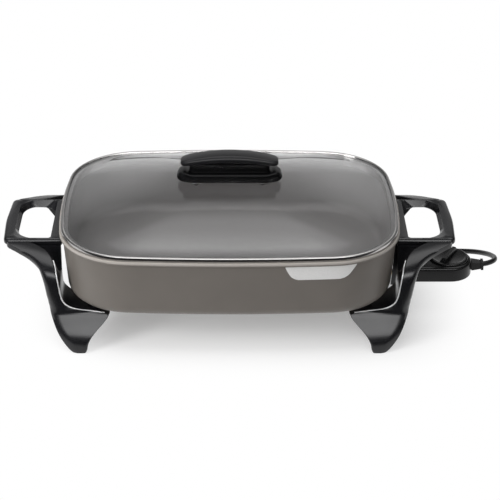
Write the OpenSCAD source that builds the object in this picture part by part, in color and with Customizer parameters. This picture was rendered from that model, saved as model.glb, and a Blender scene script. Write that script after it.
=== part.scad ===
// Electric skillet: a cast pan on two moulded end frames, with a lift-off glass cover
// and a plug-in heat control. The origin is on the table, under the middle of the skillet.

/* [Pan] */
// Length of the pan over its lip
pan_len = 407; // [340:1:490]
// Width of the pan over its lip
pan_wid = 302; // [260:2:370]
// Outside depth of the pan, from lip to base
pan_depth = 76; // [62:1:95]
// Thickness of the cast wall and floor
wall = 4; // [3:0.5:5]
// Lean of the side walls, in degrees
draft = 4.5; // [2:0.5:7]
// Corner radius of the lip
corner_r = 87; // [70:1:95]
// How far each end edge bows out
end_bow = 16.5; // [10:0.5:20]
// How far each long edge bows out
side_bow = 11.5; // [6:0.5:14]
// Outside radius between wall and base
base_r = 14; // [10:1:18]
// How far the lip stands out from the wall
lip_over = 3; // [2:0.5:4]
// Height of the lip
lip_h = 5; // [4:0.5:7]

/* [Heater] */
// Radius of the heating element's sheath
sheath_r = 4; // [3:0.25:4]
// Height of the element's centre under the pan base
element_drop = 5.5; // [5.5:0.5:7]
// Half the distance between the two terminal pins
pin_half = 19; // [17:0.5:21]
// Radius of a terminal pin
pin_r = 2.4; // [2:0.1:3]
// Radius of the heat control's probe
probe_r = 3.2; // [2.5:0.1:3.5]
// Length of probe that reaches into the pan's socket
probe_len = 84; // [60:1:90]

/* [Stand] */
// Height of the pan base above the table
base_clear = 56; // [50:1:64]
// Drop from the lip down to the top of the handles
handle_drop = 18; // [15:1:24]
// Reach of each handle beyond the lip
handle_out = 68; // [60:0.5:80]
// Half the width of each handle
handle_half = 55; // [50:1:59]
// Thickness of the handle loop
handle_t = 9; // [8:0.5:12]
// Thickness of the legs' moulded shell
shell = 4.5; // [3.5:0.5:5.5]
// Distance of the frame screws in from the lip, lengthways
screw_in = 45.5; // [42:0.5:49]
// Distance of the frame screws in from the lip, widthways
screw_side = 67; // [63:1:71]
// Radius of a frame screw's shank
screw_r = 2.4; // [2:0.1:2.6]

/* [Cover] */
// Thickness of the glass
glass_t = 4; // [3:0.5:5]
// Rise of the glass from its edge to its middle
dome_h = 29; // [22:1:34]
// Depth of the cover's steel skirt inside the pan
skirt = 9; // [6:1:12]
// Length of the cover handle's grip
grip_len = 117; // [100:1:124]
// Length of the cover handle's base
grip_base_len = 126; // [112:1:132]
// Width of the cover handle's grip
grip_wid = 26; // [22:1:30]
// Height of the grip's top above the glass
grip_h = 36; // [30:1:40]
// Half the distance between the two cover handle screws
grip_screw = 40; // [34:1:44]

/* [Heat control] */
// Half the width of the heat control
control_half = 28; // [25:1:32]
// Thickness of the heat control
control_h = 19; // [17:1:22]
// Reach of the heat control beyond the lip
control_out = 93.5; // [85:0.5:105]
// Radius of the temperature dial
dial_r = 24; // [20:0.5:25]
// Radius of the dial's shaft
shaft_r = 3; // [2.5:0.1:4]

/* [Cord] */
// Radius of the cord
cord_r = 3.2; // [2.8:0.1:3.6]

/* [Badge] */
// Width of the badge plate along its top edge
badge_wid = 82; // [60:1:90]
// Height of the badge plate
badge_h = 17.5; // [12:0.5:20]

/* [Hidden] */

gap = 0.3;        // between pieces that move apart
fit = 0.05;       // radial, round a pin or shaft
$fn = 48;

handle_reach = pan_len / 2 + handle_out;
control_reach = pan_len / 2 + control_out;
screw_x = pan_len / 2 - screw_in;
screw_y = pan_wid / 2 - screw_side;

// The skillet's middle, so that the object's own box is centred on the origin
mid_x = (handle_reach - control_reach) / 2;
lip_z = base_clear + pan_depth;
lean = tan(draft);
axis_z = base_clear - element_drop;
handle_z = lip_z - handle_drop;

// ---- outline of the pan: two end arcs, two side arcs and four corners, all tangent ----
function bow_r(half, bow) = (half * half + bow * bow) / (2 * bow);
end_r = bow_r(pan_wid / 2, end_bow);
side_r = bow_r(pan_len / 2, side_bow);
end_cx = pan_len / 2 - end_r;
side_cy = pan_wid / 2 - side_r;
span = norm([end_cx, side_cy]);
dir = [-end_cx, side_cy] / span;
along = (pow(end_r - corner_r, 2) - pow(side_r - corner_r, 2) + span * span) / (2 * span);
across = sqrt(pow(end_r - corner_r, 2) - along * along);
corner_c = [end_cx, 0] + along * dir + across * [-dir.y, dir.x];
end_a = atan2(corner_c.y, corner_c.x - end_cx);
side_a = atan2(corner_c.y - side_cy, corner_c.x);

function arc(c, r, a0, a1, n, first) =
    [for (i = [first:n]) c + r * [cos(a0 + (a1 - a0) * i / n), sin(a0 + (a1 - a0) * i / n)]];
function quarter(d) = concat(
    arc([end_cx, 0], end_r - d, 0, end_a, 3, 0),
    arc(corner_c, corner_r - d, end_a, side_a, 12, 1),
    arc([0, side_cy], side_r - d, side_a, 90, 5, 1));
function flip(q, sx, sy) = [for (p = q) [sx * p.x, sy * p.y]];
function reversed(q) = [for (i = [len(q) - 1:-1:0]) q[i]];
function middle(q, a, b) = [for (i = [a:b]) q[i]];
function outline(d) = let (q = quarter(d), n = len(q)) concat(
    q,
    middle(reversed(flip(q, -1, 1)), 1, n - 1),
    middle(flip(q, -1, -1), 1, n - 1),
    middle(reversed(flip(q, 1, -1)), 1, n - 2));
function at_z(ring, z) = [for (p = ring) [p.x, p.y, z]];

// Inset of the pan's outer wall at a depth under the lip
function wall_inset(depth) = lip_over + depth * lean;

// Skin over rings of equal length: capped at both ends, or closed round on itself
module skin(rings, closed = false) {
    n = len(rings);
    m = len(rings[0]);
    pts = [for (r = rings) each r];
    sides = [for (i = [0:closed ? n - 1 : n - 2]) for (j = [0:m - 1])
        let (k = (i + 1) % n, l = (j + 1) % m)
        each [[i * m + j, k * m + j, k * m + l], [i * m + j, k * m + l, i * m + l]]];
    caps = closed ? [] : [[for (j = [0:m - 1]) j], [for (j = [m - 1:-1:0]) (n - 1) * m + j]];
    polyhedron(points = pts, faces = concat(sides, caps), convexity = 8);
}

module on_pan() {
    translate([mid_x, 0, 0]) children();
}

// ---- pan ----
// Corner where a leaning wall meets a flat floor, rounded by r: [inset, height] points
function bowl_corner(inset0, z, r, n) = let (
        zc = z + r,
        dc = inset0 + (lip_z - zc) * lean + r / cos(draft))
    [for (i = [0:n]) let (t = 90 + (draft - 90) * i / n) [dc - r * cos(t), zc - r * sin(t)]];

pan_out = bowl_corner(lip_over, base_clear, base_r, 5);
pan_in = reversed(bowl_corner(lip_over + wall / cos(draft), base_clear + wall, base_r - wall / 2, 4));
lip_in = lip_over + wall / cos(draft);
pan_profile = concat(
    pan_out,
    [[wall_inset(lip_h + 1), lip_z - lip_h - 1],
     [0.8, lip_z - lip_h], [0, lip_z - lip_h + 0.8], [0, lip_z - 0.8], [0.8, lip_z],
     [lip_in - 1, lip_z], [lip_in + lean, lip_z - 1]],
    pan_in);

rib_w = 2 * sheath_r + 6;
rib_low = axis_z - sheath_r - 3;
bend_r = 20;
run_y = pin_half + 2 * bend_r;
hub_x = floor(pan_len / 2 - wall_inset(pan_depth) - 9.5);
bend_x = hub_x - 46;
turn_x = floor(108 - pan_len / 2);
sheath_end = hub_x + 2;

// Carries a section (across, height) along the element's U-shaped run
module element_run(x_end) {
    for (s = [1, -1]) scale_y(s) {
        translate([bend_x, pin_half, 0]) rotate([90, 0, 90]) linear_extrude(x_end - bend_x) children();
        translate([bend_x, pin_half + bend_r, 0]) rotate([0, 0, 180])
            rotate_extrude(angle = 90) translate([bend_r, 0]) children();
        translate([bend_x - 2 * bend_r, pin_half + bend_r, 0])
            rotate_extrude(angle = 90) translate([bend_r, 0]) children();
        translate([turn_x, run_y, 0]) rotate([90, 0, 90])
            linear_extrude(bend_x - 2 * bend_r - turn_x) children();
    }
    translate([turn_x, 0, 0]) rotate([0, 0, 90]) rotate_extrude(angle = 180) translate([run_y, 0]) children();
}

module scale_y(s) {
    if (s > 0) children();
    else mirror([0, 1, 0]) children();
}

module rib_section() {
    translate([-rib_w / 2, rib_low]) square([rib_w, base_clear + 1 - rib_low]);
}

module sheath_section(r) {
    translate([0, axis_z]) circle(r, $fn = 32);
}

module frame_screw_spots() {
    for (sx = [1, -1], sy = [1, -1]) translate([sx * screw_x, sy * screw_y, 0]) children();
}

boss_r = 9;
boss_h = 4;
pad_z = base_clear - boss_h;

module pan() color([0.46, 0.44, 0.42]) on_pan() difference() {
    union() {
        skin([for (p = pan_profile) at_z(outline(p[0]), p[1])]);
        element_run(hub_x) rib_section();
        translate([hub_x - 16, -pin_half - rib_w / 2, rib_low])
            cube([16, 2 * pin_half + rib_w, base_clear + 1 - rib_low]);
        translate([hub_x - probe_len - 8, -rib_w / 2, rib_low])
            cube([probe_len + 8, rib_w, base_clear + 1 - rib_low]);
        frame_screw_spots() translate([0, 0, pad_z]) cylinder(r = boss_r, h = boss_h + 1);
    }
    element_run(sheath_end) sheath_section(sheath_r + fit);
    translate([hub_x - probe_len - 2, 0, axis_z]) rotate([0, 90, 0])
        cylinder(r = probe_r + gap, h = probe_len + 10);
    frame_screw_spots() translate([0, 0, pad_z - 1]) cylinder(r = screw_r + fit, h = boss_h + wall - 1);
}

module heating_element() color([0.5, 0.5, 0.52]) on_pan()
    element_run(sheath_end) sheath_section(sheath_r);

pin_end = sheath_end + 24;
bush_h = 4;

module pin_spots(x) {
    for (s = [1, -1]) translate([x, s * pin_half, axis_z]) rotate([0, 90, 0]) children();
}

module terminal_insulators() color([0.9, 0.88, 0.82]) on_pan() pin_spots(sheath_end) difference() {
    union() {
        cylinder(r = sheath_r, h = bush_h);
        cylinder(r1 = sheath_r + 0.8, r2 = sheath_r, h = 1.5);
    }
    translate([0, 0, -1]) cylinder(r = pin_r + fit, h = bush_h + 2);
}

module terminal_pins() color([0.78, 0.78, 0.8]) on_pan() pin_spots(sheath_end) union() {
    cylinder(r = pin_r, h = pin_end - sheath_end - pin_r);
    translate([0, 0, pin_end - sheath_end - pin_r]) sphere(r = pin_r, $fn = 32);
}

// ---- badge plate, bare, on the front wall right under the lip ----
badge_x = 104.5;
badge_t = 0.8;
badge_from = lip_h + 1.1;

// How far out the front wall lies at x, inset by d: on the long bow, then on the corner
function side_y(x, d) = x < corner_c.x + (corner_r - d) * cos(side_a)
    ? side_cy + sqrt(pow(side_r - d, 2) - x * x)
    : corner_c.y + sqrt(pow(corner_r - d, 2) - pow(x - corner_c.x, 2));
// Rows down the badge: share of its height, then how far its left and right edges draw in
badge_rows = [[0, 1, 1], [0.04, 0, 0], [0.35, 2.4, 3.6], [0.62, 5, 7], [0.8, 7.4, 10], [0.93, 11, 14],
    [1, 15, 19]];

module badge_plate() color([0.82, 0.82, 0.82]) on_pan()
    skin([for (row = reversed(badge_rows)) let (
            depth = badge_from + row[0] * badge_h,
            d = wall_inset(depth),
            x0 = badge_x - badge_wid / 2 + row[1],
            x1 = badge_x + badge_wid / 2 - row[2],
            n = 8)
        concat(
            [for (i = [0:n]) let (x = x0 + (x1 - x0) * i / n)
                [x, -side_y(x, d) - 0.1 - badge_t, lip_z - depth]],
            [for (i = [n:-1:0]) let (x = x0 + (x1 - x0) * i / n)
                [x, -side_y(x, d) - 0.1, lip_z - depth]])]);

// ---- end frames: a handle loop on two shell legs ----
function unit(v) = v / norm(v);
// Arc that rounds corner b of the path a, b, c
function rounded(a, b, c, r, n) = let (
        u = unit(a - b), v = unit(c - b),
        half = acos(u * v) / 2,
        o = b + unit(u + v) * r / sin(half),
        s = b + u * r / tan(half) - o, e = b + v * r / tan(half) - o,
        a0 = atan2(s.y, s.x), turn = atan2(s.x * e.y - s.y * e.x, s * e))
    [for (i = [0:n]) o + r * [cos(a0 + turn * i / n), sin(a0 + turn * i / n)]];
// Outline through corners c, each rounded by its own radius in its own number of steps
function rounded_ring(c, r, n) = let (m = len(c)) [for (i = [0:m - 1])
    each rounded(c[(i + m - 1) % m], c[i], c[(i + 1) % m], r[i], n[i])];

arm = 13.5;       // width of the loop's inner bar, beside the pan
loop_in = pan_len / 2 - wall_inset(handle_drop) + gap;
hole_in = loop_in + arm;
hole_half = handle_half - 4.5;

// Loop outline, drawn in by d on its free sides: the end bows out a little
function loop_out(d) = rounded_ring(
    [[loop_in, -handle_half + d], [handle_reach - 3 - d, -handle_half + d], [handle_reach - d, 0],
     [handle_reach - 3 - d, handle_half - d], [loop_in, handle_half - d]],
    [1.5, 8 - d, 220, 8 - d, 1.5], [5, 5, 3, 5, 5]);
// Hand hole outline, down the slanted walls: share t of the way from the top to the bottom
function loop_hole(t, d = 0) = let (far = handle_reach - 14 - 3.5 * t, half = hole_half - 3.5 * t + d)
    rounded_ring([[hole_in - d, -half], [far + d, -half], [far + d, half], [hole_in - d, half]],
    [4 + 14 * t, 15 - 2 * t, 11 + t, 6 + 14 * t], [6, 6, 6, 6]);

module handle_loop() {
    z = handle_z;
    skin([at_z(loop_out(2.5), z - handle_t), at_z(loop_out(0.6), z - handle_t + 1.2),
        at_z(loop_out(0), z - handle_t + 3), at_z(loop_out(0), z - 3.6), at_z(loop_out(0.6), z - 2),
        at_z(loop_out(1.8), z - 0.8), at_z(loop_out(3.6), z), at_z(loop_hole(0, 1), z),
        at_z(loop_hole(0), z - 0.4), at_z(loop_hole(0.1), z - 1.4), at_z(loop_hole(0.95), z - handle_t + 0.7),
        at_z(loop_hole(1, 0.8), z - handle_t)], closed = true);
}

// Stations down a leg: forward, height (both of the outer face), lean of the section, inner edge
// and outer edge past the lip, chamfer width and depth, inner and outer depth, back of the inner side
leg_rows = [
    [50, 110.6, 90, 33, 60.5, 3, 1, 6, 5.2, 32],
    [55.5, 110.6, 88, 31, 61, 3, 1, 7, 5.4, 30],
    [60.5, 110.3, 84, 25, 58, 3, 1.2, 8, 6, 24],
    [66, 109.4, 80, 18.5, 51, 3.5, 1.5, 9, 6.3, 17],
    [72, 108.2, 75, 12, 43.5, 4, 2, 10.5, 7, 10],
    [79, 106.2, 67, 6.6, 34.5, 5, 3, 13, 8, 4.6],
    [87, 103, 56, 2.8, 26.5, 6, 4, 18, 10, 1],
    [95, 98, 40, 0.2, 20.7, 7, 5, 28, 14, -1.5],
    [101, 91.5, 22, -1.2, 17.8, 7, 6, 38, 17, -2.8],
    [104.2, 83.5, 8, -2.7, 15.6, 7, 6, 43, 19, -3.4],
    [105, 75, 0, -4, 13.9, 7, 6, 44, 20, -4],
    [105.5, 62, 0, -6.3, 11.8, 7, 6, 44, 22, -5],
    [106, 56, 0, -9, 10.6, 8, 7, 44, 22, -8.5],
    [106.5, 51.5, 0, -14, 9.8, 9, 7, 44, 22, -14],
    [107, 48.3, 0, -21.8, 9.2, 10, 8, 44, 22, -21.8],
    [108, 43.5, 0, -58, 8.4, 11, 8, 42, 22, -58],
    [109.5, 40.5, 0, -61.5, 7.8, 12, 8, 38, 22, -61.5],
    [114, 34.3, 0, -57, 5.6, 13, 8, 30, 22, -57],
    [119.5, 26.6, 0, -48.8, 2.2, 14, 8, 24, 20, -48.8],
    [124.4, 18.8, 0, -41.7, -2, 15, 8, 20, 18, -41.7],
    [127.2, 11, 0, -37.5, -7.6, 14, 7, 18, 16, -37.5],
    [127.8, 4, 0, -36.2, -13.6, 11, 5, 17, 16, -36.2],
    [127.2, 0, 0, -34.5, -17.6, 7, 4, 16, 15, -34.5]];
// Stations of the hollow behind the leg's face: forward, height, inner and outer edge, chamfer,
// and how much the inner edge leans in for each millimetre back
pocket_rows = [
    [95.5, 93, 3.5, 13, 3, 0.12],
    [105, 75, 0.5, 9, 4, 0.1],
    [105.5, 56, -3, 6, 4, 0.08],
    [106.5, 45, -7.5, 4, 5, 0],
    [108, 39, -17.5, 2.5, 6, 0],
    [109.5, 37, -50.5, 2, 7, 0],
    [113.5, 33, -52.5, -1, 9, 0],
    [118.5, 26, -44, -5, 11, 0],
    [123, 19, -36.5, -10, 12, 0],
    [125, 14, -32.5, -14, 10, 0]];

// The stations are drawn for a pan base 60 above the table and handles at 114, and for legs
// whose fronts stand face_in inside the lip: both follow the pan and the stand
face_in = 46;
draft_base = 60;
draft_handle = 114;
draft_face = 105;
draft_half = 55;
function leg_height(z) = z > draft_base
    ? base_clear + 4 + (z - draft_base) * (handle_z - base_clear - 4) / (draft_handle - draft_base)
    : z * (base_clear + 4) / draft_base;
function leg_y(y) = let (face = pan_wid / 2 - face_in)
    y > draft_face ? face + y - draft_face
    : y < draft_half ? handle_half + y - draft_half
    : handle_half + (y - draft_half) * (face - handle_half) / (draft_face - draft_half);
function leg_ring(r) = let (n = [cos(r[2]), -sin(r[2])],
        y = -leg_y(r[0]), z = leg_height(r[1]), a = pan_len / 2 + r[3], b = pan_len / 2 + r[4])
    [for (p = [[pan_len / 2 + r[9], r[7]], [a, 2.6], [a + 0.5, 1.1], [a + 1.4, 0.3], [a + 3, 0],
               [b - r[5], 0], [b - 0.45 * r[5], 0.35 * r[6]], [b - 1, r[6] - 1.2],
               [b, min(r[6] + 1.4, r[8] - 0.8)], [b, r[8]]])
        [p[0], y + p[1] * n[0], z + p[1] * n[1]]];
function pocket_ring(r) = let (y = shell - leg_y(r[0]), z = leg_height(r[1]),
        a = pan_len / 2 + r[2], b = pan_len / 2 + r[3])
    [for (p = [[a + (y + 30) * r[5], -30], [a, y], [b - r[4], y], [b, y + r[4]], [b, -30]]) [p[0], p[1], z]];

// Web that closes the leg from behind, up to the handle: outer edge past the lip, and height
web_rows = [[9, 57], [11, 75], [15, 90], [22, 100], [31, 106]];
web_in = 3.3;     // how far inside the lip it starts, clear of the pan's wall

module web() {
    z = [for (r = web_rows) leg_height(r[1])];
    translate([pan_len / 2, -handle_half + 1, 0]) rotate([90, 0, 0]) linear_extrude(shell)
        polygon([[-web_in, z[0]], for (i = [0:len(z) - 1]) [web_rows[i][0], z[i]], [-web_in, z[len(z) - 1]]]);
}

module leg() {
    difference() {
        skin([for (r = reversed(smooth_path(leg_rows, 2))) leg_ring(r)]);
        skin([for (r = reversed(pocket_rows)) pocket_ring(r)]);
    }
    web();
}

pad_low = 36;
head_z = pad_z - 9;

module frame() render() difference() {
    union() {
        handle_loop();
        for (s = [1, -1]) scale_y(s) {
            leg();
            translate([screw_x, -screw_y, pad_low]) cylinder(r = boss_r, h = pad_z - pad_low);
        }
    }
    for (s = [1, -1]) translate([screw_x, s * screw_y, 0]) {
        translate([0, 0, head_z]) cylinder(r = screw_r + 0.3, h = 20);
        translate([0, 0, pad_low - 10]) cylinder(r = 2 * screw_r + 0.8, h = head_z - pad_low + 10);
    }
}

module right_frame() color([0.1, 0.1, 0.11]) on_pan() difference() {
    frame();
    guard_screw_spots(handle_z - handle_t - 1) cylinder(r = 1.4 + fit, h = 9);
}

module left_frame() color([0.1, 0.1, 0.11]) on_pan() mirror([1, 0, 0]) frame();

module frame_screws() color([0.7, 0.7, 0.7]) on_pan() frame_screw_spots() {
    translate([0, 0, head_z]) cylinder(r = screw_r, h = pad_z + boss_h + wall - 3.5 - head_z);
    translate([0, 0, head_z - 3]) difference() {
        cylinder(r = 2 * screw_r, h = 3);
        translate([-2 * screw_r, -0.6, -1]) cube([4 * screw_r, 1.2, 2.2]);
    }
}

// ---- guard round the terminals, hung from the right handle ----
guard_in = loop_in + 0.4;
guard_x = guard_in + 13;
guard_half = 40;
guard_low = 44;
guard_t = 2.5;
guard_top = handle_z - handle_t;

module guard_screw_spots(z) {
    for (s = [1, -1]) translate([guard_in + 4.5, s * 26, z]) children();
}

// The guard's section, drawn in by d: its inner edge follows the lean of the pan's wall
module guard_section(d, z0, z1) {
    polygon([[guard_x - d, z0], [guard_x - d, z1], [guard_in - (guard_top - z1) * lean, z1],
        [guard_in - (guard_top - z0) * lean, z0]]);
}

module guard_block(d, half, z0, z1) {
    translate([0, half, 0]) rotate([90, 0, 0]) linear_extrude(2 * half) guard_section(d, z0, z1);
}

module terminal_guard() color([0.08, 0.08, 0.09]) on_pan() difference() {
    guard_block(0, guard_half, guard_low, guard_top);
    translate([-0.01, 0, 0]) guard_block(guard_t, guard_half - guard_t, guard_low - 1, guard_top - 3);
    translate([guard_in - 20, -control_half - 1.5, guard_low - 1])
        cube([40, 2 * control_half + 3, axis_z + control_h / 2 + 1.5 - guard_low + 1]);
    guard_screw_spots(guard_low) cylinder(r = 1.4 + fit, h = guard_top);
}

module guard_screws() color([0.7, 0.7, 0.7]) on_pan() guard_screw_spots(guard_top - 3) {
    cylinder(r = 1.4, h = 10);
    translate([0, 0, -1.8]) cylinder(r = 2.8, h = 1.8);
}

// ---- cover ----
rim_out = 2;
rim_in = 5.4;
glass_in = 3.2;
glass_low = lip_z + 0.7;
glass_top = glass_low + glass_t;
hem = 0.2;
skirt_in = lip_in + skirt * lean + 2.4;
rim_top = glass_top + 0.9;
rim_profile = [
    [rim_out + 0.4, lip_z + gap], [rim_out, lip_z + 0.9], [rim_out, rim_top - 1.3],
    [rim_out + 0.3, rim_top - 0.5], [rim_out + 1, rim_top], [rim_in - 0.8, rim_top],
    [rim_in, rim_top - 0.5], [rim_in, glass_top + hem],
    [glass_in - 0.3, glass_top + hem], [glass_in - 0.3, glass_low - hem],
    [skirt_in + 0.6, glass_low - hem], [skirt_in + 0.9, glass_low - 0.6],
    [skirt_in + 0.9, lip_z - skirt], [skirt_in, lip_z - skirt], [skirt_in, lip_z + gap]];

module cover_rim() color([0.82, 0.82, 0.82]) on_pan()
    skin([for (p = rim_profile) at_z(outline(p[0]), p[1])], closed = true);

rise_from = 0.965;
flat_to = 0.29;
rise_pow = 1.9;
function rise(t) = t >= rise_from ? 0
    : dome_h * (1 - pow(t / rise_from, rise_pow)) / (1 - pow(flat_to / rise_from, rise_pow));
dome_steps = [1, rise_from, 0.88, 0.77, 0.62, 0.46, flat_to];
function dome_ring(t, z) = [for (p = outline(glass_in)) [t * p.x, t * p.y, z + rise(t)]];
crown_low = glass_low + dome_h;
crown = glass_top + dome_h;
hole_r = 3.4;

module grip_spots(z) {
    for (s = [1, -1]) translate([s * grip_screw, 0, z]) children();
}

module cover_glass() color([0.75, 0.78, 0.78, 0.4]) on_pan() difference() {
    skin(concat([for (t = reversed(dome_steps)) dome_ring(t, glass_low)],
        [for (t = dome_steps) dome_ring(t, glass_top)]));
    grip_spots(crown_low - 5) cylinder(r = hole_r, h = glass_t + 10);
}

// ---- cover handle ----
pad_t = 1.5;
base_z = crown + pad_t;
base_h = 11;
web_half = grip_screw + 7;
grip_top = crown + grip_h;

module cover_handle_gasket() color([0.12, 0.12, 0.12]) on_pan() difference() {
    translate([0, 0, crown]) linear_extrude(pad_t) hull()
        for (s = [1, -1]) translate([s * (web_half - 4), 0]) circle(9);
    grip_spots(crown - 1) cylinder(r = hole_r, h = 4);
}

// Rounded section across the handle: half width w, from z0 to z1, corner c
function bar_ring(x, w, z0, z1, c) = [for (p = [[-w + c, z0], [w - c, z0], [w, z0 + c], [w, z1 - c],
        [w - 0.3 * c, z1 - 0.3 * c], [w - c, z1], [-w + c, z1], [-w + 0.3 * c, z1 - 0.3 * c],
        [-w, z1 - c], [-w, z0 + c]]) [x, p[0], p[1]]];
// Half of the base, from its end in: place along it, half width, bottom and top
base_side = [[1, 5, 5, 8.6], [0.985, 8, 3.2, 11], [0.95, 10.6, 1.6, 13.2], [0.9, 12, 0.6, 14],
    [0.84, 13, 0, 13.6], [0.77, 13.4, 0, 12], [0.7, 13.5, 0, base_h]];
base_rows = concat([for (r = base_side) [-r[0], r[1], r[2], r[3]]], reversed(base_side));

module cover_handle_base() color([0.08, 0.08, 0.09]) on_pan() difference() {
    union() {
        skin([for (r = base_rows)
            bar_ring(r[0] * grip_base_len / 2, r[1] * grip_wid / 27, base_z + r[2], base_z + r[3], 1.4)]);
        translate([-web_half, -5, base_z + 2]) cube([2 * web_half, 10, grip_top - 13 - base_z - 2]);
        grip_spots(base_z + 2) cylinder(r = 6.5, h = grip_top - 13 - base_z - 2);
    }
    grip_spots(base_z - 1) cylinder(r = 2.3, h = grip_top);
}

grip_steps = [-1, -0.985, -0.95, -0.89, -0.8, -0.68, -0.54, -0.37, -0.19,
    0, 0.19, 0.37, 0.54, 0.68, 0.8, 0.89, 0.95, 0.985, 1];
function grip_row(t) = let (
        arch = 8 * (1 - t * t),
        end = sqrt(max(0, 1 - pow(abs(t), 14))),
        w = grip_wid / 2 * (0.42 + 0.58 * end) * (1 - 0.1 * t * t))
    bar_ring(t * grip_len / 2, w, grip_top - 8 - 6.4 + 0.75 * arch + 1.6 * (1 - end),
        grip_top - 8 + arch - 1.6 * (1 - end), 1.9);

module cover_handle_grip() color([0.09, 0.09, 0.1]) on_pan() difference() {
    union() {
        skin([for (t = grip_steps) grip_row(t)]);
        translate([-web_half, -5, grip_top - 13]) cube([2 * web_half, 10, 6]);
    }
    grip_spots(grip_top - 14) cylinder(r = 2 + fit, h = 7.5);
}

washer_t = 1.2;

module cover_screws() color([0.75, 0.75, 0.75]) on_pan() grip_spots(crown_low - washer_t) {
    cylinder(r = 2, h = grip_top - 7 - crown_low + washer_t);
    translate([0, 0, -2.4]) difference() {
        cylinder(r = 4.2, h = 2.4);
        translate([-5, -0.5, -1]) cube([10, 1, 1.8]);
    }
}

module cover_washers() color([0.6, 0.6, 0.6]) on_pan() grip_spots(crown_low - washer_t) difference() {
    cylinder(r = 7, h = washer_t);
    translate([0, 0, -1]) cylinder(r = 2.2, h = 4);
}

// ---- heat control ----
control_in = guard_x + gap;
control_c = control_reach - control_half;
control_low = axis_z - control_h / 2;
control_top_z = axis_z + control_h / 2;
skin_t = 2.2;

// Half section of the housing from its middle line out, drawn in by d
module housing_section(d, z0, z1, round) {
    hull() {
        translate([0, z0]) square([control_half - d - 1, 1]);
        translate([control_half - d - 1, z0 + 1]) circle(1, $fn = 24);
        translate([0, z1 - 1]) square([1, 1]);
        translate([control_half - d - round, z1 - round]) circle(round, $fn = 32);
    }
}

module housing(d, z0, z1, round, x0) {
    translate([control_c, 0, 0]) rotate([0, 0, -90]) rotate_extrude(angle = 180, $fn = 72)
        housing_section(d, z0, z1, round);
    translate([x0, 0, 0]) rotate([90, 0, 90]) linear_extrude(control_c + 0.2 - x0) {
        housing_section(d, z0, z1, round);
        mirror([1, 0]) housing_section(d, z0, z1, round);
    }
}

module control_shell() difference() {
    housing(0, control_low, control_top_z, 4, control_in);
    housing(skin_t, control_low + skin_t, control_top_z - skin_t, 2.5, control_in + skin_t);
}

control_screw_spots = [[control_in + 20, 21], [control_in + 20, -21], [control_c + 11, 0]];

module control_spots(z) {
    for (p = control_screw_spots) translate([p.x, p.y, z]) children();
}

nose_half = 26;
nose_h = 14;
exit_h = 9;
exit_w = 10;
far = 400;

module control_cut(z0, z1) {
    translate([0, -far / 2, z0]) cube([far, far, z1 - z0]);
}

module nose_hole() {
    translate([control_in - 5, -nose_half - fit, axis_z - nose_h / 2 - fit])
        cube([20, 2 * nose_half + 2 * fit, nose_h + 2 * fit]);
}

module cord_hole() {
    translate([control_reach - 12, -exit_w / 2 - fit, axis_z - exit_h / 2 - fit])
        cube([20, exit_w + 2 * fit, exit_h + 2 * fit]);
}

module control_bottom() color([0.1, 0.1, 0.11]) on_pan() difference() {
    union() {
        intersection() {
            control_shell();
            control_cut(control_low - 1, axis_z);
        }
        control_spots(control_low + 1) cylinder(r = 4, h = axis_z - control_low - 1);
    }
    nose_hole();
    cord_hole();
    control_spots(control_low - 1) {
        cylinder(r = 1.6, h = control_h);
        cylinder(r = 3, h = 4);
    }
}

recess = 1.6;

module control_top() color([0.12, 0.12, 0.13]) on_pan() difference() {
    union() {
        intersection() {
            control_shell();
            control_cut(axis_z, control_top_z + 1);
        }
        control_spots(axis_z) cylinder(r = 4, h = control_h / 2 - 1);
        translate([control_c, 0, control_top_z - 6]) cylinder(r = 7, h = 5);
    }
    nose_hole();
    cord_hole();
    translate([control_c, 0, control_top_z - recess]) cylinder(r = dial_r + 0.8, h = 10, $fn = 96);
    translate([control_c, 0, axis_z]) cylinder(r = shaft_r + fit, h = control_h);
    control_spots(axis_z - 1) cylinder(r = 1.2 + fit, h = control_h / 2 - 2);
}

module control_screws() color([0.7, 0.7, 0.7]) on_pan() control_spots(control_low + 3) {
    cylinder(r = 1.2, h = control_h - 7);
    translate([0, 0, -2]) cylinder(r = 2.6, h = 2);
}

sleeve_r = pin_r + 1.6;
sleeve_in = sheath_end + bush_h + 3;

module contact_block() color([0.16, 0.13, 0.12]) on_pan() difference() {
    translate([guard_in + 1.5, -nose_half, axis_z - nose_h / 2])
        cube([control_in + 13 - guard_in - 1.5, 2 * nose_half, nose_h]);
    pin_spots(guard_in) cylinder(r = sleeve_r + fit, h = 40);
    translate([guard_in, 0, axis_z]) rotate([0, 90, 0]) cylinder(r = probe_r + fit, h = 40);
}

module contact_sleeves() color([0.75, 0.7, 0.6]) on_pan() pin_spots(sleeve_in) difference() {
    cylinder(r = sleeve_r, h = control_in + 15 - sleeve_in);
    translate([0, 0, -1]) cylinder(r = pin_r + gap, h = pin_end - sleeve_in + 3);
}

module probe() color([0.8, 0.8, 0.82]) on_pan() {
    translate([hub_x - probe_len + 2, 0, axis_z]) rotate([0, 90, 0]) union() {
        cylinder(r = probe_r, h = control_in + 22 - hub_x + probe_len - 2);
        sphere(r = probe_r, $fn = 32);
    }
}

stack_x = control_in + 22 + gap;

module thermostat_stack() color([0.85, 0.83, 0.78]) on_pan() {
    translate([stack_x, -5, control_low + skin_t]) difference() {
        cube([9, 10, control_h - 2 * skin_t - 2]);
        for (z = [5, 8.4]) translate([4, -1, z]) cube([10, 12, 0.7]);
    }
}

module thermostat_blades() color([0.8, 0.6, 0.35]) on_pan() {
    for (k = [0, 1]) translate([stack_x + 4.2, -3.5, control_low + skin_t + 5.1 + 3.4 * k]) union() {
        cube([16 + 4 * k, 7, 0.5]);
        translate([14, 3.5, k == 0 ? 0 : -1.2]) cylinder(r = 1.8, h = k == 0 ? 1.7 : 1.4);
    }
}

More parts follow.
